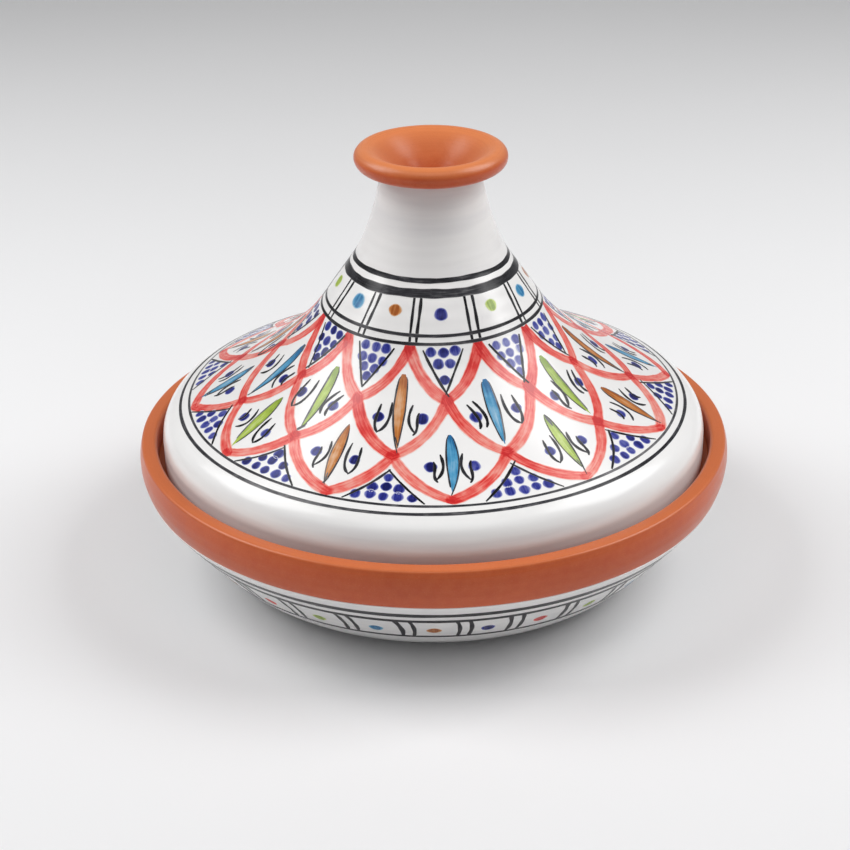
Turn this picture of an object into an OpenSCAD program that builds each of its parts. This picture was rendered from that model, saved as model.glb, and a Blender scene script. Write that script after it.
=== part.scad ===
// Hand-thrown earthenware tagine: a shallow serving dish and a tall conical lid.
// Both are clay turned on a wheel, so each is one outline revolved about +Z.
// The origin is on the axis, at the middle of the foot; every length is in millimetres.

/* [Dish] */
// Largest diameter of the dish, just below its lip
dish_d = 278; // [250:1:310]
// Height from the foot to the top of the lip
dish_h = 63.3; // [57:0.1:73]
// Height of the bare clay band that runs round under the lip
band_h = 18.3; // [14:0.1:23]
// Width of the top of the lip
lip_w = 8.3; // [6:0.1:10]
// Thickness of the bowl's wall and floor
dish_wall = 8; // [6:0.5:9]
// Diameter of the foot ring
foot_d = 156; // [130:1:170]
// Depth of the recess inside the foot ring
foot_recess = 1.6; // [1:0.1:3]

/* [Lid seat] */
// Depth of the ledge below the top of the lip
seat_depth = 11.3; // [9:0.1:13]
// Width of the ledge that carries the lid
seat_w = 10.5; // [9:0.5:12]
// Radial play between the lid's wall and the lip
seat_play = 3.7; // [2:0.1:4]
// Space left under the lid's edge so that clay doesn't bind on clay
seat_gap = 0.3; // [0.2:0.05:0.5]

/* [Lid] */
// Height from the lid's edge to the top of the knob
lid_h = 147.8; // [135:0.1:165]
// Height of the upright wall at the lid's edge
lid_wall_h = 12.7; // [10:0.1:16]
// Thickness of the lid's wall
lid_wall = 6.5; // [5:0.5:7]

/* [Neck and knob] */
// Diameter of the neck where it is narrowest, under the knob
neck_d = 45; // [42:1:50]
// Largest diameter of the knob's rolled rim
knob_d = 69.2; // [64:0.1:76]
// Thickness of the knob's rolled rim
knob_roll = 9.2; // [8:0.1:10]
// Depth of the bowl inside the knob
cup_depth = 15.5; // [12:0.5:17]

/* [Glaze] */
// Thickness of the fired glaze coat
glaze_t = 0.5; // [0.3:0.1:0.8]
// Bare clay left at the lid's edge, where it was wiped clean before firing
wiped_edge = 1.2; // [0.8:0.1:2]

/* [Hidden] */
$fn = 96;
steps = 12;     // points along each curve
overlap = 0.01; // how far a cutter passes the face that it opens

clay_colour = [0.80, 0.47, 0.30];
glaze_colour = [0.95, 0.95, 0.94];

dish_r = dish_d / 2;
foot_r = foot_d / 2;
band_r = dish_r - 2.5;
band_z = dish_h - band_h;
lip_r = dish_r - lip_w;
seat_z = dish_h - seat_depth;
seat_r = lip_r - seat_w;
floor_z = foot_recess + dish_wall;

lid_r = lip_r - seat_play;
lid_z = seat_z + seat_gap;
lid_top = lid_z + lid_h;
cone_h = lid_h - lid_wall_h;
wall_z = lid_z + lid_wall_h;
neck_r = neck_d / 2;
roll_r = knob_roll / 2;
knob_r = knob_d / 2 - roll_r;
knob_z = lid_top - roll_r;
neck_z = knob_z - 6.8;
cup_z = lid_top - cup_depth;
bore_z = cup_z - dish_wall;

// Point at t on the curve from a to d that leaves a towards b and reaches d from c
function on_curve(a, b, c, d, t) =
    pow(1 - t, 3) * a + 3 * pow(1 - t, 2) * t * b + 3 * (1 - t) * t * t * c + pow(t, 3) * d;

// The whole curve from a to d, without its first point
function curve(a, b, c, d, n = steps) = [for (i = [1:n]) on_curve(a, b, c, d, i / n)];

// Round stretch about (r, z), from one angle to another
function arc(r, z, rad, from, to, n = steps) =
    [for (i = [0:n]) let (a = from + (to - from) * i / n) [r + rad * cos(a), z + rad * sin(a)]];

// Unit direction along a path at point i, and the path moved sideways by t to its left
function along(path, i) =
    let (v = path[min(i + 1, len(path) - 1)] - path[max(i - 1, 0)]) v / norm(v);
function beside(path, t) =
    [for (i = [0:len(path) - 1]) let (v = along(path, i)) path[i] + t * [-v[1], v[0]]];

function reversed(path) = [for (i = [len(path) - 1:-1:0]) path[i]];

// Outline of the bowl's outside, from the foot up to the band
function bowl_outside() = concat([[foot_r + 2, 1.5]],
    curve([foot_r + 2, 1.5], [foot_r + 27, 3.5], [band_r - 34.6, band_z - 42], [band_r, band_z]));

// Outline of the bowl's inside, from the middle of the floor up to the ledge
function bowl_inside() = concat([[0, floor_z], [foot_r - 12, floor_z]],
    curve([foot_r - 12, floor_z], [foot_r + 20, floor_z], [seat_r - 14, seat_z - 25],
        [seat_r, seat_z - 2.5]), arc(seat_r + 1.8, seat_z - 2, 2, 160, 90, 4));

// Outline of the lip: the band's bulging face, its crisp corner, the flat top and the ledge
function lip() = concat(
    curve([band_r, band_z], [dish_r - 0.2, band_z + 5], [dish_r + 1, dish_h - 7],
        [dish_r - 1, dish_h - 1.4], 8),
    arc(dish_r - 2.4, dish_h - 1.4, 1.4, 0, 84, 6),
    arc(lip_r + 1.8, dish_h - 1.8, 1.8, 82, 180, 8),
    arc(lip_r - 1, seat_z + 1, 1, 0, -90, 4));

// Outline of the lid's outside, from the wall's foot up to the knob's underside
function lid_side() = concat(
    [[lid_r, lid_z + wiped_edge], [lid_r, wall_z]],
    curve([lid_r, wall_z], [lid_r, wall_z + 7], [lid_r - 3, wall_z + 11.5],
        [lid_r - 9, wall_z + 14.1]),
    curve([lid_r - 9, wall_z + 14.1], [lid_r * 0.755, wall_z + cone_h * 0.178],
        [lid_r * 0.528, wall_z + cone_h * 0.274], [lid_r * 0.397, wall_z + cone_h * 0.457]),
    curve([lid_r * 0.397, wall_z + cone_h * 0.457], [lid_r * 0.339, wall_z + cone_h * 0.540],
        [neck_r + 14.5, wall_z + cone_h * 0.600], [neck_r + 12, wall_z + cone_h * 0.629], 6),
    curve([neck_r + 12, wall_z + cone_h * 0.629], [neck_r + 6.5, wall_z + cone_h * 0.703],
        [neck_r + 1.5, neck_z - 14], [neck_r, neck_z]));

// Outline of the knob, from the neck under the rolled rim and down into its bowl
function knob() = concat(
    curve([neck_r, neck_z], [neck_r + 0.3, neck_z + 1.6], [knob_r - 4, knob_z - roll_r],
        [knob_r, knob_z - roll_r], 6),
    arc(knob_r, knob_z, roll_r, -75, 105),
    curve([knob_r - 1.2, knob_z + 4.4], [knob_r - 5.2, knob_z + 3.4],
        [knob_r - 9, cup_z + 10.1], [knob_r / 2, cup_z + 6]),
    curve([knob_r / 2, cup_z + 6], [knob_r / 2 - 4.4, cup_z + 3.3], [7.5, cup_z], [0, cup_z], 6));

// The lid's hollow: its outside moved inwards by the wall, closed by a dome in the neck
function lid_hollow() =
    let (inner = [for (p = beside(lid_side(), lid_wall)) if (p[1] < bore_z - 14) p],
        last = inner[len(inner) - 1])
    concat([[lid_r - lid_wall, lid_z - overlap]], inner,
        curve(last, last + [-3.4, 9], [9, bore_z], [0, bore_z], 8), [[0, lid_z - overlap]]);

// The dish: foot ring, thick wall, bare band, rounded lip and the ledge for the lid
module dish_body() {
    color(clay_colour) rotate_extrude() polygon(concat(
        [[0, foot_recess], [foot_r - 11, foot_recess], [foot_r - 9, 0], [foot_r - 1, 0]],
        bowl_outside(), lip(), reversed(bowl_inside())));
}

// White coat on the outside of the bowl, from the foot to the band
module dish_glaze() {
    color(glaze_colour) rotate_extrude()
        polygon(concat(bowl_outside(), reversed(beside(bowl_outside(), -glaze_t))));
}

// The lid: upright wall, hollow cone, neck and hollowed knob in one piece of clay
module lid_body() {
    color(clay_colour) rotate_extrude() difference() {
        polygon(concat([[0, lid_z]], arc(lid_r - 1, lid_z + 1, 1, -90, 0, 4), lid_side(), knob()));
        polygon(lid_hollow());
    }
}

// White coat on the outside of the lid, from the wiped edge to the knob
module lid_glaze() {
    color(glaze_colour) rotate_extrude()
        polygon(concat(lid_side(), reversed(beside(lid_side(), -glaze_t))));
}

dish_body();
dish_glaze();
lid_body();
lid_glaze();
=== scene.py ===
"""A tagine: a turned terracotta dish and its tall pointed lid, glazed white and painted by hand.

Lengths are in millimetres and angles in degrees; uneven() turns places into the frame's metres,
which the materials and the lights use too.
Azimuth 0 is the front of the pot, towards -Y, and it grows towards +X.
A place on a wall is (azimuth, slope): slope is the distance down the wall from its zero line.
"""

import math

import bpy
import numpy as np
from mathutils import Matrix, Vector


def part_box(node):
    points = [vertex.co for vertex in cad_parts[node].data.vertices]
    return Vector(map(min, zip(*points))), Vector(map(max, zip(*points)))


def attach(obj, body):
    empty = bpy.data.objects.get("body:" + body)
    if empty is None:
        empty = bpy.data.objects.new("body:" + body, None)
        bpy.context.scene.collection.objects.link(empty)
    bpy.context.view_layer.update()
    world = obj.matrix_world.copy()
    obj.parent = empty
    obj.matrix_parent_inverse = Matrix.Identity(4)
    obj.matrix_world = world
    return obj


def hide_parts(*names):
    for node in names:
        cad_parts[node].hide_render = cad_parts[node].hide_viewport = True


MM = 0.001
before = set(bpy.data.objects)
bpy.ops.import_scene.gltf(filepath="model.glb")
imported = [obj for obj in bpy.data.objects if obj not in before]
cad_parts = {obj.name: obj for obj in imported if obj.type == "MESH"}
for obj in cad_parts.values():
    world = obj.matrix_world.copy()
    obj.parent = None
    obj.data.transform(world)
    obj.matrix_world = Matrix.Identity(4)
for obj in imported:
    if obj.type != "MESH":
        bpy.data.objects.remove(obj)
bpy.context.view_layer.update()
rng = np.random.default_rng(7)

# ---------------------------------------------------------------- sizes that the frame gives

dish_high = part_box("dish_body")[1] / MM
dish_glaze_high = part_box("dish_glaze")[1] / MM
lid_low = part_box("lid_body")[0] / MM
lid_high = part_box("lid_body")[1] / MM
lid_glaze_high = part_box("lid_glaze")[1] / MM

DISH_R = dish_high.x  # widest part of the dish, on its band
LIP_TOP = dish_high.z
BAND_Z = dish_glaze_high.z  # where the white glaze ends and the bare clay band starts
LID_R = lid_high.x
LID_Z = lid_low.z  # the lid's edge, just above its seat
LID_TOP = lid_high.z
NECK_Z = lid_glaze_high.z  # where the glaze ends under the knob
GLAZE = lid_glaze_high.x - LID_R

# ---------------------------------------------------------------- sizes of the clay's outlines

LIP_W = 8.3  # width of the top of the lip
RIM_R = 139.0  # what the lip's and the band's outlines are drawn from
BAND_R = RIM_R - 2.5
FOOT_R = 78.0
FOOT_RECESS = 1.6
DISH_WALL = 8.0
SEAT_Z = LID_Z - 0.3
SEAT_R = RIM_R - LIP_W - 10.5
LID_WALL_H = 12.7
LID_WALL = 6.5
NECK_R = 22.5
KNOB_R = 30.0  # to the middle of the knob's rolled rim
ROLL_R = 4.6
CUP_DEPTH = 15.5
WIPED_EDGE = 1.2  # bare clay left at the lid's edge
BURIED = 0.15  # how far a coat's underside sits inside what carries it
SEGMENTS = 288  # round every turned piece
SHARP_ANGLE = 35  # faces that meet more sharply than this keep a crisp edge
COAT_STEP = 1.2  # between a glaze coat's points, down the wall
COAT_ROUND = 1.1  # how far a coat's rounded edge reaches in from its end


def curve(a, b, c, d, count=16):
    """Points on the cubic curve that leaves a towards b and reaches d from c."""
    t = np.linspace(0, 1, count + 1)[:, None]
    a, b, c, d = (np.array(p, float) for p in (a, b, c, d))
    return (1 - t) ** 3 * a + 3 * (1 - t) ** 2 * t * b + 3 * (1 - t) * t**2 * c + t**3 * d


def arc(r, z, radius, start, end, count=10):
    """Points on the round stretch about (r, z), from one angle to another."""
    turn = np.radians(np.linspace(start, end, count + 1))
    return np.stack([r + radius * np.cos(turn), z + radius * np.sin(turn)], axis=1)


def joined(*runs):
    """Several runs of points as one line, without the points that repeat."""
    line = np.concatenate([np.atleast_2d(np.array(run, float)) for run in runs])
    apart = np.linalg.norm(np.diff(line, axis=0), axis=1) > 0.01
    return line[np.concatenate([[True], apart])]


def run_along(line):
    """How far along the line each of its points lies."""
    return np.concatenate([[0], np.cumsum(np.linalg.norm(np.diff(line, axis=0), axis=1))])


def evenly(line, step):
    """The same line with its points about one step apart."""
    run = run_along(line)
    at = np.linspace(0, run[-1], max(2, round(run[-1] / step) + 1))
    return np.stack([np.interp(at, run, line[:, k]) for k in (0, 1)], axis=1)


def leftward(line):
    """The direction to the left of the line, at each of its points."""
    way = np.gradient(line, axis=0)
    way /= np.linalg.norm(way, axis=1)[:, None]
    return np.stack([-way[:, 1], way[:, 0]], axis=1)


def beside(line, distance):
    """The line moved sideways to its left; a negative distance moves it to its right."""
    return line + distance * leftward(line)


def bowl_outside():
    """The bowl's outside, from the foot ring up to the bare band."""
    start = [FOOT_R + 2, 1.5]
    return curve(start, [FOOT_R + 27, 3.5], [BAND_R - 34.6, BAND_Z - 42], [BAND_R, BAND_Z], 40)


def bowl_inside():
    """The bowl's inside, from the middle of its floor up to the ledge that carries the lid."""
    floor_z = FOOT_RECESS + DISH_WALL
    edge = [FOOT_R - 12, floor_z]
    wall = curve(edge, [FOOT_R + 20, floor_z], [SEAT_R - 14, SEAT_Z - 25], [SEAT_R, SEAT_Z - 2.5], 36)
    floor = evenly(np.array([[0, floor_z], edge]), 4)
    return joined(floor, wall, arc(SEAT_R + 1.8, SEAT_Z - 2, 2, 160, 90))


def lip():
    """The band's bulging face, the lip's crisp corner and flat top, and the inner drop."""
    lip_r = RIM_R - LIP_W
    band = curve([BAND_R, BAND_Z], [RIM_R - 0.2, BAND_Z + 5], [RIM_R + 1, LIP_TOP - 7],
                 [RIM_R - 1, LIP_TOP - 1.4])
    corner = arc(RIM_R - 2.4, LIP_TOP - 1.4, 1.4, 0, 84)
    inner = arc(lip_r + 1.8, LIP_TOP - 1.8, 1.8, 82, 180, 12)
    return joined(band, corner, inner, arc(lip_r - 1, SEAT_Z + 1, 1, 0, -90, 6))


def dish_outline():
    """The whole dish, from the axis underneath, round the outside and back to the axis."""
    foot = [[0, FOOT_RECESS], [FOOT_R - 40, FOOT_RECESS], [FOOT_R - 11, FOOT_RECESS]]
    ring = [[FOOT_R - 9, 0.3], [FOOT_R - 8.5, 0], [FOOT_R - 1.5, 0], [FOOT_R - 0.5, 0.3]]
    return joined(foot, ring, bowl_outside(), lip(), bowl_inside()[::-1])


def lid_side():
    """The glazed outside of the lid: its wall, its round shoulder, the cone and the neck."""
    wall_z = LID_Z + LID_WALL_H
    cone_h = LID_TOP - wall_z
    wall = evenly(np.array([[LID_R, LID_Z + WIPED_EDGE], [LID_R, wall_z]]), 1.5)
    turn = [LID_R - 9, wall_z + 14.1]
    waist = [LID_R * 0.397, wall_z + cone_h * 0.457]
    neck = [NECK_R + 12, wall_z + cone_h * 0.629]
    shoulder = curve([LID_R, wall_z], [LID_R, wall_z + 7], [LID_R - 3, wall_z + 11.5], turn)
    cone = curve(turn, [LID_R * 0.755, wall_z + cone_h * 0.178],
                 [LID_R * 0.528, wall_z + cone_h * 0.274], waist, 60)
    rise = curve(waist, [LID_R * 0.339, wall_z + cone_h * 0.540],
                 [NECK_R + 14.5, wall_z + cone_h * 0.600], neck, 20)
    top = curve(neck, [NECK_R + 6.5, wall_z + cone_h * 0.703], [NECK_R + 1.5, NECK_Z - 14],
                [NECK_R, NECK_Z], 40)
    return joined(wall, shoulder, cone, rise, top)


def knob():
    """The knob: its underside, its rolled rim, and the bowl inside it down to the axis."""
    knob_z = LID_TOP - ROLL_R
    cup_z = LID_TOP - CUP_DEPTH
    under = curve([NECK_R, NECK_Z], [NECK_R + 0.3, NECK_Z + 1.6],
                  [KNOB_R - 4, knob_z - ROLL_R], [KNOB_R, knob_z - ROLL_R], 14)
    roll = arc(KNOB_R, knob_z, ROLL_R, -75, 105, 28)
    half = [KNOB_R / 2, cup_z + 6]
    slope = curve([KNOB_R - 1.2, knob_z + 4.4], [KNOB_R - 5.2, knob_z + 3.4],
                  [KNOB_R - 9, cup_z + 10.1], half, 24)
    cup = curve(half, [KNOB_R / 2 - 4.4, cup_z + 3.3], [7.5, cup_z], [0, cup_z], 16)
    return joined(under, roll, slope, cup)


def lid_outline():
    """The whole lid, from the axis in its hollow, round the edge and up to the knob's bowl."""
    bore_z = LID_TOP - CUP_DEPTH - DISH_WALL
    inner = beside(evenly(lid_side(), 3), LID_WALL)
    inner = inner[inner[:, 1] < bore_z - 14]
    last = inner[-1]
    dome = curve(last, last + [-3.4, 9], [9, bore_z], [0, bore_z])
    hollow = joined([[LID_R - LID_WALL, LID_Z]], inner, dome)
    foot = arc(LID_R - 1, LID_Z + 1, 1, -90, 0, 6)
    return joined(hollow[::-1], foot, lid_side(), knob())


# ---------------------------------------------------------------- the hand of the potter

DISH_PHASE = 0.6
LID_PHASE = 2.3


def uneven(points, phase):
    """Points in millimetres, moved a little as a hand-turned wall is, and given in metres.
    It is a little out of round, with throwing ridges, and it leans towards the top.
    The whole of one pot takes the same phase, so that clay, glaze and paint stay together."""
    x, y, z = points[..., 0], points[..., 1], points[..., 2]
    r = np.hypot(x, y)
    turn = np.arctan2(x, -y)
    swell = 0.20 * np.sin(2 * turn + phase) + 0.11 * np.sin(3 * turn - phase + z / 40)
    swell += 0.05 * np.sin(5 * turn + 2 * phase + z / 25)
    ridges = 0.034 * np.sin(z * 1.25 + 1.4 * np.sin(turn + phase) + 0.8 * np.sin(z / 9))
    ridges += 0.022 * np.sin(z * 0.53 + 2 * np.cos(turn - phase))
    grow = 1 + (swell + ridges) * np.clip(r / 30, 0, 1) / np.maximum(r, 1)
    lean = 0.25 * np.sin(turn - phase) * np.clip((z - SEAT_Z) / 100, 0, 1)
    return np.stack([x * grow, y * grow, z + lean], axis=-1) * MM


class Wall:
    """The glazed outside of one pot, as an outline that runs down the wall from a zero line."""

    def __init__(self, outline, zero_radius, phase):
        self.line = evenly(outline, 0.5)
        self.out = leftward(self.line)
        run = run_along(self.line)
        zero = np.argmin(np.abs(self.line[:, 0] - zero_radius))
        self.slope = run - run[zero]
        self.phase = phase

    def radius(self, slope):
        return np.interp(slope, self.slope, self.line[:, 0])

    def at(self, azimuth, slope, lift):
        """Places in metres, lifted off the glaze by a distance in millimetres."""
        r, z, out_r, out_z = (
            np.interp(slope, self.slope, column)
            for column in (self.line[:, 0], self.line[:, 1], self.out[:, 0], self.out[:, 1])
        )
        turn = np.radians(azimuth)
        r = r + out_r * lift
        points = np.stack([r * np.sin(turn), -r * np.cos(turn), z + out_z * lift], axis=-1)
        return uneven(points, self.phase)


RING_R = 50.9  # radius of the ring that the red net hangs from, the lid's zero line
lid_wall = Wall(beside(lid_side(), -GLAZE)[::-1], RING_R, LID_PHASE)
dish_wall = Wall(beside(bowl_outside(), -GLAZE)[::-1], DISH_R, DISH_PHASE)

# ---------------------------------------------------------------- meshes


def make_mesh(name, points, faces, body, replaces=()):
    """A piece from points in metres, shaded smoothly except across its sharp edges."""
    mesh = bpy.data.meshes.new(name)
    mesh.from_pydata(points, [], faces)
    mesh.polygons.foreach_set("use_smooth", np.ones(len(mesh.polygons), bool))
    mesh.set_sharp_from_angle(angle=math.radians(SHARP_ANGLE))
    piece = bpy.data.objects.new(name, mesh)
    bpy.context.scene.collection.objects.link(piece)
    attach(piece, body)
    if replaces:
        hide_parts(*replaces)
    return piece


def turned_faces(rows, columns, loop):
    """Quads of a surface of revolution whose rows run round it. A loop also joins its ends."""
    row = np.arange(rows if loop else rows - 1)[:, None]
    column = np.arange(columns)[None, :]
    after, beyond = (row + 1) % rows, (column + 1) % columns
    corners = [row * columns + column, row * columns + beyond,
               after * columns + beyond, after * columns + column]
    return np.stack(corners, axis=-1).reshape(-1, 4).tolist()


def turned_points(outline, segments):
    """The points of an outline revolved about the axis, a row of them for each of its own."""
    turn = np.radians(np.arange(segments) * 360 / segments)
    return np.stack([np.outer(outline[:, 0], np.sin(turn)), -np.outer(outline[:, 0], np.cos(turn)),
                     np.repeat(outline[:, 1:], segments, axis=1)], axis=-1)


def turned_clay(name, outline, phase, body, node):
    """Clay revolved about the axis; the outline starts and ends on the axis."""
    middle = outline[1:-1]
    poles = np.array([[0, 0, outline[0, 1]], [0, 0, outline[-1, 1]]])
    points = np.concatenate([turned_points(middle, SEGMENTS).reshape(-1, 3), poles])
    faces = turned_faces(len(middle), SEGMENTS, loop=False)
    first, last = len(points) - 2, len(points) - 1
    top = (len(middle) - 1) * SEGMENTS
    for i in range(SEGMENTS):
        j = (i + 1) % SEGMENTS
        faces.append([first, j, i])
        faces.append([last, top + i, top + j])
    make_mesh(name, uneven(points, phase), faces, body, [node])


def glaze_coat(name, wall, waves, body, node):
    """The white coat on a wall: a thin closed shell with round, slightly wavy edges.
    waves gives how far its upper and its lower edge wander, in millimetres."""
    azimuth = np.arange(SEGMENTS) * 360 / SEGMENTS
    high, low = wall.slope[0], wall.slope[-1]
    length = low - high
    corner = np.radians(np.linspace(0, 90, 7))
    round_in, round_up = COAT_ROUND * (1 - np.cos(corner)), GLAZE * (np.sin(corner) - 1)
    along = np.linspace(high + COAT_ROUND, low - COAT_ROUND, round(length / COAT_STEP))[1:-1]
    inside = np.linspace(low, high, 30)
    slope = np.concatenate([high + round_in, along, low - round_in[::-1], inside])
    lift = np.concatenate([round_up, np.zeros(len(along)), round_up[::-1],
                           np.full(len(inside), -GLAZE - BURIED)])
    turn = np.radians(azimuth)
    wander = np.sin(3 * turn + 1) + 0.7 * np.sin(7 * turn) + 0.5 * np.sin(13 * turn + 2)
    share = (slope - high) / length
    moved = waves[0] * wander[None, :] * (1 - share[:, None]) ** 8
    moved = moved + waves[1] * wander[None, ::-1] * share[:, None] ** 8
    points = wall.at(azimuth[None, :], slope[:, None] + moved, lift[:, None])
    faces = turned_faces(len(slope), SEGMENTS, loop=True)
    make_mesh(name, points.reshape(-1, 3), faces, body, [node])


# ---------------------------------------------------------------- brush marks

# How far each kind of mark lies off the glaze, so that lines end up on top of the fills.
RED_LIFT = 0.04
RED_LIFT_STEP = 0.012  # between red strokes that cross
DOT_LIFT = 0.06
LEAF_LIFT = 0.07
WEDGE_LIFT = 0.085
LINE_LIFT = 0.09
RING_WANDER = 0.25  # how far a ring strays up and down
MARK_SHIFT = 9.7  # gives each mark brush hairs of its own


class Mark:
    """One brush mark: a middle line of (azimuth, slope) points and half its width at each."""

    def __init__(self, line, half, lift, strength=1.0, closed=False):
        self.line = line
        self.half = half
        self.lift = lift
        self.strength = strength
        self.closed = closed


def flat_normals(wall, line):
    """For each point of a line on a wall: its radius, the direction across the line as its right
    and its down part, and its distance along the line."""
    radius = wall.radius(line[:, 1])
    right = np.gradient(np.radians(line[:, 0])) * radius
    down = np.gradient(line[:, 1])
    length = np.maximum(np.hypot(right, down), 1e-6)
    return radius, -down / length, right / length, np.cumsum(length)


class Paint:
    """All the marks of one colour on one wall, gathered into one mesh of thin closed patches."""

    def __init__(self, wall):
        self.wall = wall
        self.points = []
        self.faces = []
        self.ink = []
        self.brush = []
        self.count = 0
        self.marks = 0

    def add(self, mark, columns, ink_of):
        """Adds a mark. columns are places across it from -1 to 1, and ink_of(across, share,
        azimuth, slope) gives how much colour each of its points carries, from 0 to 1."""
        radius, right, down, run = flat_normals(self.wall, mark.line)
        across = np.array(columns, float)[None, :]
        reach = mark.half[:, None] * across
        azimuth = mark.line[:, :1] + np.degrees(right[:, None] * reach / radius[:, None])
        slope = mark.line[:, 1:] + down[:, None] * reach
        share = np.linspace(0, 1, len(mark.line))[:, None]
        ink = np.broadcast_to(ink_of(across, share, azimuth, slope), azimuth.shape)
        top = self.wall.at(azimuth, slope, mark.lift)
        ends = [0, -1]
        under = self.wall.at(azimuth[:, ends], slope[:, ends], -BURIED)
        rows, wide = azimuth.shape
        self.points += [top.reshape(-1, 3), under.reshape(-1, 3)]
        self.ink += [ink.reshape(-1), ink[:, ends].reshape(-1)]
        brush = np.stack([reach, np.repeat(run[:, None], wide, 1),
                          np.full(reach.shape, MARK_SHIFT * self.marks)], axis=-1)
        self.brush += [brush.reshape(-1, 3), brush[:, ends].reshape(-1, 3)]
        self.faces += patch_faces(self.count, rows, wide, mark.closed)
        self.count += rows * wide + rows * 2
        self.marks += 1

    def finish(self, name, body, slot):
        """Makes the piece, and keeps each point's ink and its place in its brush mark on it."""
        piece = make_mesh(name, np.concatenate(self.points), self.faces, body)
        ink = piece.data.attributes.new("ink", "FLOAT", "POINT")
        ink.data.foreach_set("value", np.concatenate(self.ink).astype(np.float32))
        brush = piece.data.attributes.new("brush", "FLOAT_VECTOR", "POINT")
        brush.data.foreach_set("vector", np.concatenate(self.brush).astype(np.float32).ravel())


def patch_faces(start, rows, wide, closed):
    """Faces of a closed thin patch: its grid on top, then two columns of points underneath."""
    row = np.arange(rows if closed else rows - 1)
    after = (row + 1) % rows
    column = np.arange(wide - 1)
    i, j = row[:, None] * wide + column, after[:, None] * wide + column
    top = np.stack([i, i + 1, j + 1, j], axis=-1).reshape(-1, 4)
    left, left_after = row * wide, after * wide
    right, right_after = left + wide - 1, left_after + wide - 1
    low, low_after = rows * wide + 2 * row, rows * wide + 2 * after
    sides = [np.stack([left, left_after, low_after, low], axis=-1),
             np.stack([right, low + 1, low_after + 1, right_after], axis=-1),
             np.stack([low, low_after, low_after + 1, low + 1], axis=-1)]
    faces = (np.concatenate([top, *sides]) + start).tolist()
    if not closed:
        first = np.arange(wide)
        final = (rows - 1) * wide + first
        under = rows * wide + 2 * (rows - 1)
        faces.append(([rows * wide, rows * wide + 1, *first[::-1]] + np.array(start)).tolist())
        faces.append(([under + 1, under, *final] + np.array(start)).tolist())
    return faces


# Where the points across a mark lie, from one rim at -1 to the other at 1.
LINE_COLUMNS = (-1, -0.84, 0, 0.84, 1)
DOT_COLUMNS = (-1, -0.86, -0.5, 0, 0.5, 0.86, 1)
BROAD_COLUMNS = (-1, -0.86, -0.72, -0.4, 0, 0.4, 0.72, 0.86, 1)


def edge(across, soft):
    """Full in the middle of a mark, and nothing at its rim."""
    return np.clip((1 - np.abs(across)) / soft, 0, 1)


def crisp(across):
    """A line's colour: it keeps half of it at its rim, so that no pale edge shows on a fill."""
    return 0.5 + 0.5 * edge(across, 0.14)


def draw_line(paint, line, width, dark, lift=LINE_LIFT, taper=0.25):
    """A thin brushed line whose width breathes a little and whose ends thin out."""
    line = np.array(line, float)
    share = np.linspace(0, 1, len(line))
    cycles = max(2, len(line) // 14)
    breath = 1 + 0.13 * np.sin(share * cycles * 2 * math.pi + rng.uniform(0, 6))
    half = (width * 0.41 + 0.08) * breath
    half *= 1 - taper + taper * np.clip(np.minimum(share, 1 - share) * 7, 0, 1)
    paint.add(Mark(line, half, lift), LINE_COLUMNS, lambda across, share, a, s: dark * crisp(across))


def draw_ring(paint, slope, width, dark, lift=LINE_LIFT):
    """A ring painted with the brush held still while the pot turns."""
    azimuth = np.arange(SEGMENTS) * 360 / SEGMENTS
    turn = np.radians(azimuth)
    drift = np.sin(2 * turn + rng.uniform(0, 6)) + 0.5 * np.sin(5 * turn + rng.uniform(0, 6))
    line = np.stack([azimuth, slope + RING_WANDER * drift], axis=1)
    breath = 0.06 * np.sin(9 * turn + rng.uniform(0, 6)) + 0.04 * np.sin(23 * turn + rng.uniform(0, 6))
    mark = Mark(line, (width / 2 + 0.12) * (1 + breath), lift, closed=True)
    load = 0.09 * np.sin(2 * turn + rng.uniform(0, 6)) + 0.05 * np.sin(7 * turn + rng.uniform(0, 6))
    shade = (dark * (0.92 + load))[:, None]
    columns = BROAD_COLUMNS if width > 2 else LINE_COLUMNS
    paint.add(mark, columns, lambda across, share, a, s: shade * crisp(across))


def draw_dot(paint, azimuth, slope, size, dark, stretch=1.0):
    """A round dab, a little oval and uneven, with a pale rim where the colour ran."""
    turn = np.linspace(0, math.pi, 15)
    radius = size / 2 * 1.16  # larger than the dab, because its rim is pale
    lean = rng.uniform(-0.12, 0.12)
    down = -np.cos(turn) * radius * stretch
    right = lean * down
    line = np.stack([azimuth + np.degrees(right / paint.wall.radius(slope + down)), slope + down], 1)
    half = np.maximum(np.sin(turn) * radius * (1 + 0.07 * np.sin(3 * turn + rng.uniform(0, 6))), 0.06)
    strength = dark * rng.uniform(0.86, 1.05)

    def ink(across, share, a, s):
        far = np.hypot(across * np.sin(turn)[:, None], np.cos(turn)[:, None])
        return strength * np.clip((1 - far) / 0.24, 0, 1) * (0.9 + 0.12 * far)

    paint.add(Mark(line, half, DOT_LIFT), DOT_COLUMNS, ink)


def spot(wall, azimuth, slope, right, down):
    """The place that lies so many millimetres right and down from another."""
    right, down = np.asarray(right, float), np.asarray(down, float)
    turned = azimuth + np.degrees(right / wall.radius(slope + down))
    return np.stack(np.broadcast_arrays(turned, slope + down), axis=-1)


COLOURS = ("red", "black", "cobalt", "green", "turquoise", "orange")


def paint_box(wall):
    """An empty Paint of each colour."""
    return {tint: Paint(wall) for tint in COLOURS}


def finish_paints(paints, body):
    """One piece for each colour on a body."""
    for tint, paint in paints.items():
        paint.finish(f"{body}_paint_{tint}", body, f"paint_{tint}")


# ---------------------------------------------------------------- the lid's painting

lid_paints = paint_box(lid_wall)

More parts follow.
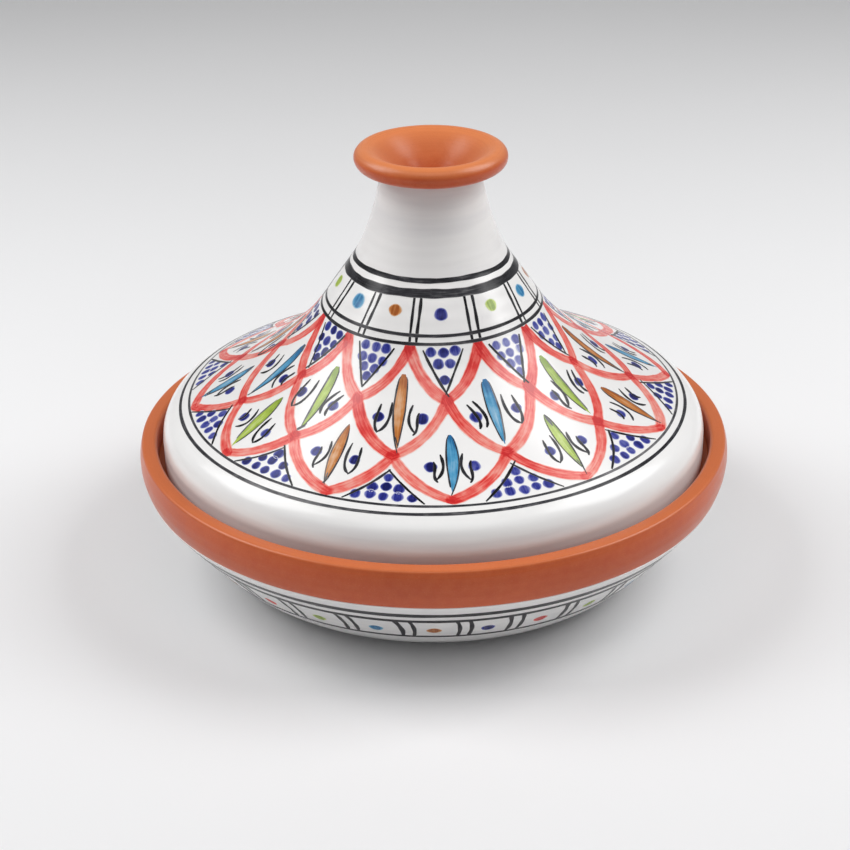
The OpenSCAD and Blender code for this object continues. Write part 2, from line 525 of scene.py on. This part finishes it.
# Azimuths of the red net's corners, column by column, as the painter spaced them by eye.
# The net hangs from PEAKS, crosses at HIGH and at MIDDLE, and its points end at TIPS.
PEAKS = (-72, -45, -11, 22.5, 53, 86, 116, 146, 176, 206, 234, 261)
HIGH = (-57, -28, 5, 37.5, 67, 101, 131, 161, 191, 220, 247, 272)
MIDDLE = (-69, -41, -11, 20, 51.5, 83, 116, 147, 176, 206, 234, 261)
TIPS = (-54, -24, 4, 35.5, 66, 96, 131, 162, 191, 220, 247, 280)
PEAK_SLOPE = 1.5
HIGH_SLOPES = (28, 28, 26, 26.5, 27, 28, 27, 28, 27, 28, 27, 28)
MIDDLE_SLOPES = (55, 54.5, 53.8, 54.6, 55, 54.5, 55, 54, 55, 54, 55, 54.5)
TIP_SLOPE = 76.5
COLUMNS = len(PEAKS)
RED_HALF = 2.8  # half the width of a red stroke


def near(azimuth, other):
    """The azimuth with whole turns added or taken, so that it lies nearest to the other."""
    return azimuth + 360 * round((other - azimuth) / 360)


def net_strand(start, end, order):
    """A red stroke that leaves its upper corner steeply and flattens towards its lower one."""
    start, end = np.array(start), np.array(end)
    across, down = end - start
    line = curve(start, start + [0.22 * across, 0.40 * down], start + [0.66 * across, 0.86 * down],
                 end, 40)
    before = line[0] - (line[1] - line[0]) * 0.9
    beyond = line[-1] + (line[-1] - line[-2]) * 1.1
    line = np.concatenate([[before], line, [beyond]])
    share = np.linspace(0, 1, len(line))
    swing = 0.07 * np.sin(share * 7 + rng.uniform(0, 6)) + 0.03 * np.sin(share * 23 + rng.uniform(0, 6))
    swing += 0.018 * np.sin(share * 53 + rng.uniform(0, 6))
    half = RED_HALF * (1 + swing + rng.uniform(-0.08, 0.08))
    half *= 0.84 + 0.16 * np.clip(np.minimum(share, 1 - share) * 9, 0, 1)
    loaded, spent = rng.uniform(0.52, 0.78), rng.uniform(0.42, 0.6)
    if rng.uniform() < 0.3:
        loaded, spent = spent, loaded
    strength = loaded + (spent - loaded) * share
    return Mark(line, half, RED_LIFT + RED_LIFT_STEP * order, strength)


def net_strands():
    """All the red strokes: from each peak down to both sides, and on to the net's points."""
    strands = []
    for i in range(COLUMNS):
        peak = (PEAKS[i], PEAK_SLOPE + rng.uniform(-0.6, 0.6))
        for side in (0, 1):
            high = HIGH[(i - 1 + side) % COLUMNS]
            end = (near(high, peak[0]), HIGH_SLOPES[(i - 1 + side) % COLUMNS])
            strands.append(net_strand(peak, end, side))
            corner = (HIGH[i], HIGH_SLOPES[i])
            middle = MIDDLE[(i + side) % COLUMNS]
            end = (near(middle, corner[0]), MIDDLE_SLOPES[(i + side) % COLUMNS])
            strands.append(net_strand(corner, end, 2 + side))
            corner = (MIDDLE[i], MIDDLE_SLOPES[i])
            tip = TIPS[(i - 1 + side) % COLUMNS]
            strands.append(net_strand(corner, (near(tip, corner[0]), TIP_SLOPE), side))
    return strands


def ink_field(wall, strands):
    """A function that gives the red colour at a place: more of it where strokes cross."""
    lines = []
    dense = np.linspace(0, 1, 80)
    for strand in strands:
        share = np.linspace(0, 1, len(strand.line))
        columns = (strand.line[:, 0], strand.line[:, 1], strand.half, strand.strength)
        azimuth, slope, half, strength = (np.interp(dense, share, column) for column in columns)
        lines.append((wall.at(azimuth, slope, 0) / MM, half, strength))

    def field(across, share, azimuth, slope):
        places = wall.at(azimuth, slope, 0).reshape(-1, 3) / MM
        middle, size = places.mean(0), np.ptp(places, axis=0).max()
        clear = np.ones(len(places))
        for line, half, strength in lines:
            if np.linalg.norm(line - middle, axis=1).min() > size + 6:
                continue
            gaps = np.linalg.norm(places[:, None] - line[None], axis=2)
            nearest = gaps.argmin(1)
            part = gaps[np.arange(len(places)), nearest] / half[nearest]
            # colour gathers just inside a stroke's edge
            rim = 1 + 0.16 * np.exp(-((part - 0.74) / 0.14) ** 2)
            clear *= 1 - np.minimum(strength[nearest] * rim * np.clip((1 - part) / 0.22, 0, 1), 0.95)
        return (1 - clear).reshape(azimuth.shape)

    return field


def draw_net():
    """The red net. Where strokes cross, each carries the colour of both together."""
    strands = net_strands()
    field = ink_field(lid_wall, strands)
    for strand in strands:
        lid_paints["red"].add(strand, BROAD_COLUMNS, field)


def draw_triangle(corner, ends, rows, size, pitch):
    """Two black sides that bow a little, filled with rows of cobalt dots.
    corner is the point where the sides meet; each row is (slope, number of dots)."""
    corner = np.array(corner, float)
    for end, bow in zip(np.array(ends, float), (-1, 1)):
        middle = (corner + end) / 2
        middle[0] -= bow * rng.uniform(-0.1, 1.1)
        past = corner + (corner - end) * rng.uniform(0.0, 0.12)
        line = curve(past, middle, middle, end, 18)
        draw_line(lid_paints["black"], line, rng.uniform(1.05, 1.45), rng.uniform(0.8, 1.0), taper=0.4)
    tone = rng.uniform(0.7, 1.0)
    for slope, count in rows:
        drop = rng.uniform(-0.5, 0.5)
        for k in range(count):
            shift = (k - (count - 1) / 2) * pitch + rng.uniform(-0.4, 0.4)
            at = spot(lid_wall, corner[0], slope + drop + rng.uniform(-0.4, 0.4), shift, 0)
            grown, dark = size * rng.uniform(0.9, 1.1), tone * rng.uniform(0.88, 1.08)
            draw_dot(lid_paints["cobalt"], *at, grown, dark)


def draw_leaf(paint, top, bottom, half, blunt):
    """A long leaf, filled and then outlined in thin black strokes that don't quite match it. Up to
    two hair lines cross its lower tip, and some leaves have a dark wedge in the upper one.
    blunt turns its fill from a lens, at 0, towards a bar that narrows downwards, at 1."""
    black = lid_paints["black"]
    share = np.linspace(0, 1, 30)
    line = np.array(top) + share[:, None] * (np.array(bottom) - np.array(top))
    line[:, 0] += rng.uniform(-0.6, 0.6) * np.sin(math.pi * share)
    lens = np.sin(math.pi * share ** 0.9) ** 0.8
    bar = np.clip(share * 14, 0.3, 1) ** 0.5 * np.clip((1 - share) * 1.9, 0, 1) ** 0.8
    widths = np.maximum(half * (lens + (bar - lens) * blunt), 0.14)
    tone = rng.uniform(0.66, 0.9)
    hollow = rng.uniform(0.4, 0.7)

    def ink(across, share, azimuth, slope):
        pale = 0.3 * np.exp(-(((share - hollow) / 0.2) ** 2)) * np.exp(-(((across - 0.1) / 0.5) ** 2))
        dark = 0.30 * np.clip((0.22 - share) / 0.15, 0, 1) + 0.14 * np.clip(-across, 0, 1)
        return (tone * (1 - pale) + dark) * edge(across, 0.14)

    paint.add(Mark(line, widths * 1.06, LEAF_LIFT), BROAD_COLUMNS, ink)
    radius, right, down, _ = flat_normals(paint.wall, line)
    for side, bold in zip((-1, 1), rng.permutation([1.0, 0.6])):
        first = int(rng.integers(0, 3))
        final = len(line) - int(rng.integers(0, 6))
        off = side * widths * rng.uniform(0.88, 1.0) + rng.uniform(-0.3, 0.3)
        outline = np.stack([line[:, 0] + np.degrees(right * off / radius), line[:, 1] + down * off], 1)
        reach = outline[final - 1] - outline[final - 2]
        tail = outline[final - 1] + reach * np.linspace(0.7, rng.uniform(1.0, 3.0), 3)[:, None]
        outline = np.concatenate([outline[first:final], tail])
        draw_line(black, outline, bold * rng.uniform(0.7, 1.05), rng.uniform(0.6, 0.9), taper=0.6)
    for _ in range(int(rng.integers(0, 3))):
        place, slant = line[-int(rng.integers(1, 6))], rng.uniform(-0.8, 0.8)
        along = np.linspace(-2.4, rng.uniform(1.0, 2.6), 8)
        hair = np.stack([place[0] + np.degrees(along * slant / radius[-1]), place[1] + along], axis=1)
        draw_line(black, hair, rng.uniform(0.4, 0.7), rng.uniform(0.6, 0.85), taper=0.5)
    if rng.uniform() < 0.4:
        tip = int(rng.integers(4, 8))
        aside = rng.uniform(-0.3, 0.3) * widths[:tip] / radius[:tip]
        wedge = np.stack([line[:tip, 0] + np.degrees(aside), line[:tip, 1]], axis=1)
        narrowing = widths[:tip] * np.linspace(0.9, 0.1, tip)
        shade = rng.uniform(0.55, 0.85)
        black.add(Mark(wedge, narrowing, WEDGE_LIFT), LINE_COLUMNS,
                  lambda across, share, a, s: shade * crisp(across))


# How the strokes beside a leaf run: the near one, then the one by the dot. Each is a curve in
# millimetres out from the leaf's middle line and down from the dot.
CURLS = (
    (((5.0, -7.0), (3.2, -1.0), (3.6, 3.0), (7.8, 7.4)),
     ((8.4, -3.0), (6.8, 1.0), (10.2, 5.0), (7.2, 8.8))),
    (((7.4, -7.8), (3.8, -2.0), (4.0, 3.5), (9.2, 6.6)),
     ((12.0, -5.6), (11.0, -2.4), (9.4, 0.8), (12.6, 3.0))),
    (((4.6, -8.0), (4.0, -1.0), (5.2, 5.4), (9.2, 7.4)),
     ((9.4, -6.6), (10.4, -1.0), (12.4, 4.2), (9.0, 7.8))),
    (((9.0, -8.0), (5.6, -3.0), (4.0, 2.2), (6.8, 5.8)),
     ((12.0, -6.6), (9.2, -1.5), (7.6, 3.2), (10.0, 6.2))),
)
CURL_REACH = 9.6  # how far out the dot lies that CURLS was drawn for


def draw_curls(azimuth, slope, reach):
    """On each side of a leaf a cobalt dot, a stroke beside the leaf and a hooked one by the dot."""
    for side in (-1, 1):
        tilt, drop = rng.uniform(-0.6, 0.6), rng.uniform(-0.8, 0.8)
        dot = spot(lid_wall, azimuth, slope, side * (reach + tilt), drop)
        draw_dot(lid_paints["cobalt"], *dot, rng.uniform(4.6, 5.2), rng.uniform(0.8, 1.08))
        width, dark = rng.uniform(1.3, 1.65), rng.uniform(0.8, 1.0)
        grown = reach / CURL_REACH * rng.uniform(0.94, 1.06)
        for stroke in CURLS[rng.integers(len(CURLS))]:
            out, down = (curve(*stroke, 14) * grown).T
            line = spot(lid_wall, azimuth, slope, side * (out + tilt * 0.5), down + drop)
            draw_line(lid_paints["black"], line, width, dark, taper=0.55)


LEAF_FILLS = ("turquoise", "green", "orange")
# Rows of dots in the triangles, each as (slope, number of dots).
SPARSE_DOTS = ((4.2, 3), (9.8, 2), (16.2, 1))
DENSE_DOTS = ((3.8, 3), (8.8, 3), (13.6, 2), (18.0, 1))
LOWER_DOTS = ((65.2, 1), (70.2, 3), (75.4, 5))


def draw_upper_cell(i):
    """A leaf under one of the net's peaks, with its curls and dots."""
    lean = rng.uniform(-1.2, 1.2)
    middle = (PEAKS[i] + MIDDLE[i]) / 2
    top = (middle - lean, 16.0 + rng.uniform(-2, 2))
    bottom = (MIDDLE[i] + lean * 0.6, 50.5)
    blunt = rng.choice([0.9, 0.55])
    draw_leaf(lid_paints[LEAF_FILLS[i % 3]], top, bottom, half=2.7, blunt=blunt)
    draw_curls(middle, slope=35, reach=9.6)


def draw_lower_cell(i):
    """A leaf above one of the net's points, with its curls and dots."""
    lean = rng.uniform(-1.0, 1.0)
    middle = (HIGH[i] + near(TIPS[i], HIGH[i])) / 2
    top = (middle - lean, 42.5 + rng.uniform(-2, 2))
    bottom = (middle + lean, 73.0)
    blunt = rng.uniform(0, 0.3)
    draw_leaf(lid_paints[LEAF_FILLS[(i + 1) % 3]], top, bottom, half=2.9, blunt=blunt)
    draw_curls(middle, slope=59, reach=9.2)


def draw_triangles(i):
    """The dotted triangle between two of the net's peaks, and the one between two of its points."""
    upper_dots = SPARSE_DOTS if i % 3 == 2 else DENSE_DOTS
    ends = ((HIGH[i] - 9.6, 2.8), (HIGH[i] + 9.6, 2.8))
    draw_triangle((HIGH[i], 22.6), ends, upper_dots, size=4.3, pitch=5.4)
    ends = ((MIDDLE[i] - 9.0, 78.4), (MIDDLE[i] + 9.0, 78.4))
    draw_triangle((MIDDLE[i], 61.6), ends, LOWER_DOTS, size=4.5, pitch=6.0)


# The neck band's panels: the middles of the dividers, and the dots between them.
NECK_DIVIDERS = (-64, -36.5, -9, 23.5, 56.5, 79, 110, 139, 168, 198, 230, 262)
NECK_DOTS = (-49, -22, 5, 37, 66.5, 95, 125, 154, 183, 214, 246, 279)
NECK_DOT_SIZES = (7.0, 5.4, 5.6, 5.5, 6.2, 6.0)
NECK_COLOURS = ("turquoise", "orange", "cobalt", "green")
# Rings: slope, width, how dark, and how far off the glaze where that isn't LINE_LIFT.
NECK_RINGS = ((-28.0, 2.1, 0.95), (-22.1, 4.0, 0.92, 0.07), (-3.8, 1.3, 0.92), (0.1, 1.2, 0.92, 0.1))
SHOULDER_RINGS = ((79.3, 0.95, 0.8), (83.7, 1.35, 0.84))


def draw_neck_band():
    """Rings round the neck, with panels between them that each hold one dot."""
    for ring in NECK_RINGS:
        draw_ring(lid_paints["black"], *ring)
    for i, azimuth in enumerate(NECK_DIVIDERS):
        spread, lean = rng.uniform(1.8, 2.7), rng.uniform(-2.4, -0.4)
        for side in (-1, 1):
            top = (azimuth + side * spread, -21.6)
            bottom = (azimuth + side * (spread - 0.5) + lean, 0.2)
            line = curve(top, (top[0], -14), (bottom[0] - 0.3, -6), bottom, 20)
            width = 1.35 + rng.uniform(-0.25, 0.25)
            draw_line(lid_paints["black"], line, width, dark=0.92, lift=DOT_LIFT)
        slope, size = -13.7 + rng.uniform(-0.8, 0.8), NECK_DOT_SIZES[i % len(NECK_DOT_SIZES)]
        paint = lid_paints[NECK_COLOURS[i % len(NECK_COLOURS)]]
        draw_dot(paint, NECK_DOTS[i], slope, size, dark=0.98, stretch=0.95)


def paint_lid():
    """The net, what its cells hold, the neck band, and two rings at the shoulder."""
    draw_net()
    for i in range(COLUMNS):
        draw_upper_cell(i)
        draw_lower_cell(i)
        draw_triangles(i)
    draw_neck_band()
    for ring in SHOULDER_RINGS:
        draw_ring(lid_paints["black"], *ring)
    finish_paints(lid_paints, "lid")


# ---------------------------------------------------------------- the dish's painting

dish_paints = paint_box(dish_wall)

# The dish's dividers: listed one by one at the front, and evenly spaced round the rest.
DISH_PANELS = 29
FRONT_DIVIDERS = (-43.5, -31.4, -18.6, -6.2, 5.6, 16.2, 28.4, 40.4)
DISH_COLOURS = ("green", "turquoise", "orange", "cobalt", "red")
DISH_RINGS = ((9.0, 3.5, 0.98), (16.1, 2.6, 0.98), (36.6, 1.8, 0.95))


def dish_dividers():
    """The azimuth of each divider, all the way round."""
    rest = DISH_PANELS - len(FRONT_DIVIDERS)
    gap = (FRONT_DIVIDERS[0] + 360 - FRONT_DIVIDERS[-1]) / (rest + 1)
    return FRONT_DIVIDERS + tuple(FRONT_DIVIDERS[-1] + gap * (k + 1) for k in range(rest))


def paint_dish():
    """Two rings under the band, then panels with one dot each, and a ring below them."""
    for ring in DISH_RINGS:
        draw_ring(dish_paints["black"], *ring)
    dividers = dish_dividers()
    for i, azimuth in enumerate(dividers):
        for side in (-1, 1):
            top = (azimuth + side * 1.35 - 0.5 + rng.uniform(-0.3, 0.3), 15.5)
            bottom = (azimuth + side * 1.2 + 0.3, 36.8)
            line = curve(top, (top[0] + 0.9, 21), (bottom[0] + 0.7, 29), bottom, 16)
            width = 2.2 + rng.uniform(-0.3, 0.3)
            draw_line(dish_paints["black"], line, width, dark=1.0, taper=0.45)
        following = near(dividers[(i + 1) % DISH_PANELS], azimuth + 12)
        slope = 28.2 + rng.uniform(-0.6, 0.6)
        paint = dish_paints[DISH_COLOURS[(i - 1) % len(DISH_COLOURS)]]
        draw_dot(paint, (azimuth + following) / 2, slope, size=5.8, dark=0.98)
    finish_paints(dish_paints, "dish")


# ---------------------------------------------------------------- materials


def colour(red, green, blue):
    """A colour given as it looks on a screen, from 0 to 255, as linear light."""
    parts = [c / 255 for c in (red, green, blue)]
    return (*[c / 12.92 if c <= 0.04045 else ((c + 0.055) / 1.055) ** 2.4 for c in parts], 1)


class Finish:
    """A new material and the few steps that its nodes are built with."""

    def __init__(self, name, **sockets):
        self.material = bpy.data.materials.new(name)
        self.material.use_nodes = True
        self.tree = self.material.node_tree
        self.surface = self.tree.nodes["Principled BSDF"]
        for socket, value in sockets.items():
            self.surface.inputs[socket.replace("_", " ")].default_value = value

    def node(self, kind, inputs=None, **settings):
        """A new node. Each input is linked to another node's output, or set to a value."""
        made = self.tree.nodes.new("ShaderNode" + kind)
        for key, value in settings.items():
            setattr(made, key, value)
        for key, value in (inputs or {}).items():
            if isinstance(value, bpy.types.NodeSocket):
                self.tree.links.new(value, made.inputs[key])
            else:
                made.inputs[key].default_value = value
        return made

    def math(self, operation, a, b):
        return self.node("Math", {0: a, 1: b}, operation=operation).outputs[0]

    def place(self):
        return self.node("TexCoord").outputs["Object"]

    def upward(self):
        """How far the surface faces up: 1 on top of a thing and 0 on an upright wall."""
        return self.node("SeparateXYZ", {0: self.node("NewGeometry").outputs["Normal"]}).outputs[2]

    def scaled(self, vector, by):
        return self.node("VectorMath", {0: vector, 1: by}, operation="MULTIPLY").outputs[0]

    def noise(self, vector, scale, detail=2.0, rough=0.5):
        inputs = {"Vector": vector, "Scale": scale, "Detail": detail, "Roughness": rough}
        return self.node("TexNoise", inputs).outputs["Fac"]

    def spread(self, value, low, high, to_low=0.0, to_high=1.0):
        """The value with the stretch from low to high widened to another one, and cut off there."""
        inputs = {0: value, 1: low, 2: high, 3: to_low, 4: to_high}
        return self.node("MapRange", inputs).outputs[0]

    def mix(self, share, a, b, blend="MIX"):
        inputs = {0: share, 6: a, 7: b}
        return self.node("Mix", inputs, data_type="RGBA", blend_type=blend).outputs[2]

    def ramp(self, value, stops):
        made = self.node("ValToRGB", {0: value})
        points = made.color_ramp.elements
        for k, (at, tone) in enumerate(stops):
            point = points[k] if k < len(points) else points.new(at)
            point.position = at
            point.color = tone
        return made.outputs[0]

    def feed(self, socket, value):
        self.tree.links.new(value, self.surface.inputs[socket])

    def bump(self, height, strength, distance):
        inputs = {"Strength": strength, "Distance": distance, "Height": height}
        self.feed("Normal", self.node("Bump", inputs).outputs[0])

    def give(self, *names):
        for name in names:
            mesh = bpy.data.objects[name].data
            mesh.materials.clear()
            mesh.materials.append(self.material)


def glaze_white_with_painted_light(finish):
    """The white glaze's colour: nearly even, a little warmer and thinner in drifts, with faint level
    bands from the throwing under it. Painted light from above makes it whiter where the surface faces
    up, as on the sloping walls."""
    drift = finish.noise(finish.place(), 16, 3)
    coat = finish.mix(finish.spread(drift, 0.3, 0.7), colour(237, 236, 235), colour(246, 245, 243))
    bands = finish.noise(finish.scaled(finish.place(), (0.08, 0.08, 1.0)), 210, 3)
    coat = finish.mix(finish.spread(bands, 0.4, 0.7, 0.0, 0.5), coat, colour(224, 223, 224))
    # painted light: whiter where the surface faces up, as if lit from above
    painted_top_light = finish.spread(finish.upward(), 0.3, 0.62, 0.0, 0.85)
    return finish.mix(painted_top_light, coat, colour(254, 253, 252))


def glaze_surface(finish):
    """Soft waves of a dipped coat, and the smoothness that goes with them."""
    place = finish.place()
    finish.bump(finish.noise(place, 55, 2), 0.25, 0.0006)
    finish.feed("Roughness", finish.spread(finish.noise(place, 90, 2), 0.3, 0.7, 0.19, 0.265))


def white_glaze():
    """The white coat where nothing is painted on it."""
    finish = Finish("white_glaze", Specular_IOR_Level=0.5)
    finish.feed("Base Color", glaze_white_with_painted_light(finish))
    glaze_surface(finish)
    return finish


def pigment(name, stops, streak, patch, gloss):
    """Brushed colour under the same glaze: streaks run along each mark, and it pools in patches."""
    finish = Finish(name, Specular_IOR_Level=gloss)
    ink = finish.node("Attribute", attribute_name="ink").outputs["Fac"]
    brush = finish.node("Attribute", attribute_name="brush").outputs["Vector"]
    hairs = finish.noise(finish.scaled(brush, (1.5, 0.10, 1.0)), 1.0, 3)
    hairs = finish.spread(hairs, 0.3, 0.7, 1 - streak, 1 + streak)
    pools = finish.spread(finish.noise(finish.place(), 190, 4), 0.3, 0.7, 1 - patch, 1 + patch)
    amount = finish.math("MULTIPLY", ink, finish.math("MULTIPLY", hairs, pools))
    tint = finish.ramp(amount, [(0.0, colour(255, 255, 255))] + [(at, colour(*c)) for at, c in stops])
    # the paint is tinted over the glaze's colour, so its painted top light shows on the paint too
    finish.feed("Base Color", finish.mix(1.0, glaze_white_with_painted_light(finish), tint, "MULTIPLY"))
    glaze_surface(finish)
    return finish


def terracotta():
    """Bare fired clay: warm and mottled, with faint turning lines and fine pale grog. Painted light
    makes it lighter where it faces up, most of all on the knob, and painted shade darkens the bottom of
    the knob's bowl."""
    finish = Finish("terracotta", Specular_IOR_Level=0.42, Sheen_Weight=0.12, Sheen_Roughness=0.35)
    place = finish.place()
    x, y, z = finish.node("SeparateXYZ", {0: place}).outputs
    squares = finish.math("ADD", finish.math("MULTIPLY", x, x), finish.math("MULTIPLY", y, y))
    away = finish.math("POWER", squares, 0.5)
    turned = finish.node("CombineXYZ", {0: away, 1: z}).outputs[0]
    lines = finish.noise(turned, 1500, 3, 0.6)
    broad = finish.noise(place, 22, 3)
    mottle = finish.noise(place, 240, 4, 0.6)
    grain = finish.noise(place, 2600, 2, 0.6)
    tone = finish.mix(finish.spread(broad, 0.3, 0.7), colour(188, 75, 28), colour(201, 85, 34))
    # painted light: lighter where the clay faces up, more so higher up and most on the knob
    painted_clay_top_light = finish.math("MULTIPLY", finish.spread(finish.upward(), 0.1, 0.85),
                        finish.spread(z, 0.08, 0.17, 0.42, 0.85))
    tone = finish.mix(painted_clay_top_light, tone, colour(234, 142, 86))
    # painted shade: darker clay at the bottom of the knob's bowl, near its axis
    cup_z = (LID_TOP - CUP_DEPTH) * MM
    painted_cup_shade = finish.math("MULTIPLY", finish.spread(away, 0.009, 0.027, 0.85, 0.0),
                        finish.spread(z, cup_z - 0.0046, cup_z - 0.0016))
    tone = finish.mix(painted_cup_shade, tone, colour(160, 54, 12))
    tone = finish.mix(finish.spread(mottle, 0.35, 0.75, 0.0, 0.22), tone, colour(218, 122, 70))
    tone = finish.mix(finish.spread(lines, 0.45, 0.75, 0.0, 0.14), tone, colour(178, 76, 33))
    tone = finish.mix(finish.spread(grain, 0.62, 0.74, 0.0, 0.3), tone, colour(228, 156, 108))
    tone = finish.mix(finish.spread(grain, 0.38, 0.28, 0.0, 0.28), tone, colour(140, 62, 32))
    finish.feed("Base Color", tone)
    finish.feed("Roughness", finish.spread(mottle, 0.3, 0.7, 0.28, 0.38))
    height = finish.math("ADD", finish.math("MULTIPLY", lines, 0.7),
                         finish.math("MULTIPLY", grain, 0.3))
    finish.bump(height, 0.25, 0.0002)
    return finish


# Each colour of paint: its tints as the ink grows to 1, how much brush hairs and pools vary it, and
# its gloss.
PIGMENTS = {
    "red": {
        "stops": ((0.2, (254, 222, 216)), (0.4, (252, 172, 160)), (0.6, (245, 116, 106)),
                  (0.8, (233, 64, 60)), (1.0, (212, 38, 40))),
        "streak": 0.24, "patch": 0.20, "gloss": 0.5},
    "black": {
        "stops": ((0.35, (172, 172, 174)), (0.75, (62, 62, 67)), (1.0, (18, 18, 23))),
        "streak": 0.12, "patch": 0.10, "gloss": 0.28},
    "cobalt": {
        "stops": ((0.25, (204, 207, 232)), (0.5, (112, 119, 190)), (0.75, (46, 54, 150)),
                  (1.0, (16, 20, 92))),
        "streak": 0.10, "patch": 0.18, "gloss": 0.4},
    "green": {
        "stops": ((0.35, (228, 238, 184)), (0.7, (182, 208, 84)), (1.0, (134, 164, 46))),
        "streak": 0.16, "patch": 0.16, "gloss": 0.5},
    "turquoise": {
        "stops": ((0.35, (184, 216, 236)), (0.7, (84, 164, 208)), (1.0, (34, 112, 168))),
        "streak": 0.16, "patch": 0.16, "gloss": 0.5},
    "orange": {
        "stops": ((0.35, (240, 206, 174)), (0.7, (210, 136, 68)), (1.0, (172, 92, 36))),
        "streak": 0.16, "patch": 0.16, "gloss": 0.5},
}


def paint_materials():
    """One material for each colour, on both pots."""
    for tint, recipe in PIGMENTS.items():
        pigment(f"paint_{tint}", **recipe).give(f"lid_paint_{tint}", f"dish_paint_{tint}")


# ---------------------------------------------------------------- stage, light and camera

FLOOR_R = 2600.0
WALL_BEND = 700.0  # radius of the bend between floor and wall
WALL_TOP = 1600.0
STAGE_SEGMENTS = 96


def make_stage():
    """A wide plain floor of pale paper that rises into a wall far away on all sides."""
    floor = evenly(np.array([[40.0, 0], [FLOOR_R, 0]]), 160)
    bend = arc(FLOOR_R, WALL_BEND, WALL_BEND, -90, 0, 12)
    outline = joined(floor, bend, [[FLOOR_R + WALL_BEND, WALL_TOP]])
    points = turned_points(outline, STAGE_SEGMENTS).reshape(-1, 3)
    faces = turned_faces(len(outline), STAGE_SEGMENTS, loop=False)
    faces.append(list(range(STAGE_SEGMENTS)))
    mesh = bpy.data.meshes.new("stage_floor")
    mesh.from_pydata(points * MM, [], faces)
    mesh.polygons.foreach_set("use_smooth", np.ones(len(mesh.polygons), bool))
    stage = bpy.data.objects.new("stage_floor", mesh)
    bpy.context.scene.collection.objects.link(stage)
    finish = Finish("stage_paper", Roughness=0.9, Specular_IOR_Level=0.1)
    shade = finish.noise(finish.place(), 3, 2)
    finish.feed("Base Color", finish.mix(shade, colour(240, 240, 241), colour(243, 243, 244)))
    mesh.materials.append(finish.material)


def area_light(name, place, aim, size, power):
    """A soft box at a place in metres that faces its aim; its power is in watts."""
    light = bpy.data.lights.new(name, "AREA")
    light.shape = "RECTANGLE"
    light.size, light.size_y = size
    light.energy = power
    lamp = bpy.data.objects.new(name, light)
    bpy.context.scene.collection.objects.link(lamp)
    lamp.location = place
    lamp.rotation_euler = (Vector(aim) - Vector(place)).to_track_quat("-Z", "Y").to_euler()


def make_lights():
    """Two large soft boxes high on both sides, a weaker one above the camera, and a dim room."""
    area_light("softbox_left", (-0.9, 0.1, 1.0), (0, 0, 0.1), (0.8, 0.8), 9.2)
    area_light("softbox_right", (0.9, 0.1, 1.0), (0, 0, 0.1), (0.8, 0.8), 9.8)
    area_light("softbox_front", (0, -0.7, 1.5), (0, 0.05, 0), (1.2, 0.8), 3.6)
    world = bpy.data.worlds.new("studio")
    world.use_nodes = True
    sky = world.node_tree.nodes["Background"]
    sky.inputs["Color"].default_value = (1, 1, 1, 1)
    sky.inputs["Strength"].default_value = 0.20
    bpy.context.scene.world = world


CAMERA_DISTANCE = 877.5
CAMERA_RISE = 26.4
CAMERA_ROLL = -0.73
AIM = (-4.0, 0.0, 62.0)
LENS = 77.97
SENSOR = 36.0


def make_camera():
    """The camera stands in front of the pot and looks down on it, a little to the left of its axis."""
    camera = bpy.data.objects.new("camera", bpy.data.cameras.new("camera"))
    bpy.context.scene.collection.objects.link(camera)
    camera.data.lens = LENS
    camera.data.sensor_width = SENSOR
    rise = math.radians(CAMERA_RISE)
    back = Vector((0, -math.cos(rise), math.sin(rise))) * CAMERA_DISTANCE
    place = (Vector((0, 0, AIM[2])) + back) * MM
    facing = (Vector(AIM) * MM - place).to_track_quat("-Z", "Y").to_matrix()
    camera.location = place
    camera.rotation_mode = "QUATERNION"
    roll = Matrix.Rotation(math.radians(CAMERA_ROLL), 3, "Z")
    camera.rotation_quaternion = (facing @ roll).to_quaternion()
    camera.data.clip_start = 0.01
    bpy.context.scene.camera = camera


turned_clay("dish_clay", dish_outline(), DISH_PHASE, "dish", "dish_body")
turned_clay("lid_clay", lid_outline(), LID_PHASE, "lid", "lid_body")
glaze_coat("dish_white_glaze", dish_wall, (0.28, 0.2), "dish", "dish_glaze")
glaze_coat("lid_white_glaze", lid_wall, (0.25, 0.12), "lid", "lid_glaze")
paint_lid()
paint_dish()
terracotta().give("dish_clay", "lid_clay")
white_glaze().give("dish_white_glaze", "lid_white_glaze")
paint_materials()
make_stage()
make_lights()
make_camera()
bpy.context.scene.view_settings.view_transform = "Standard"
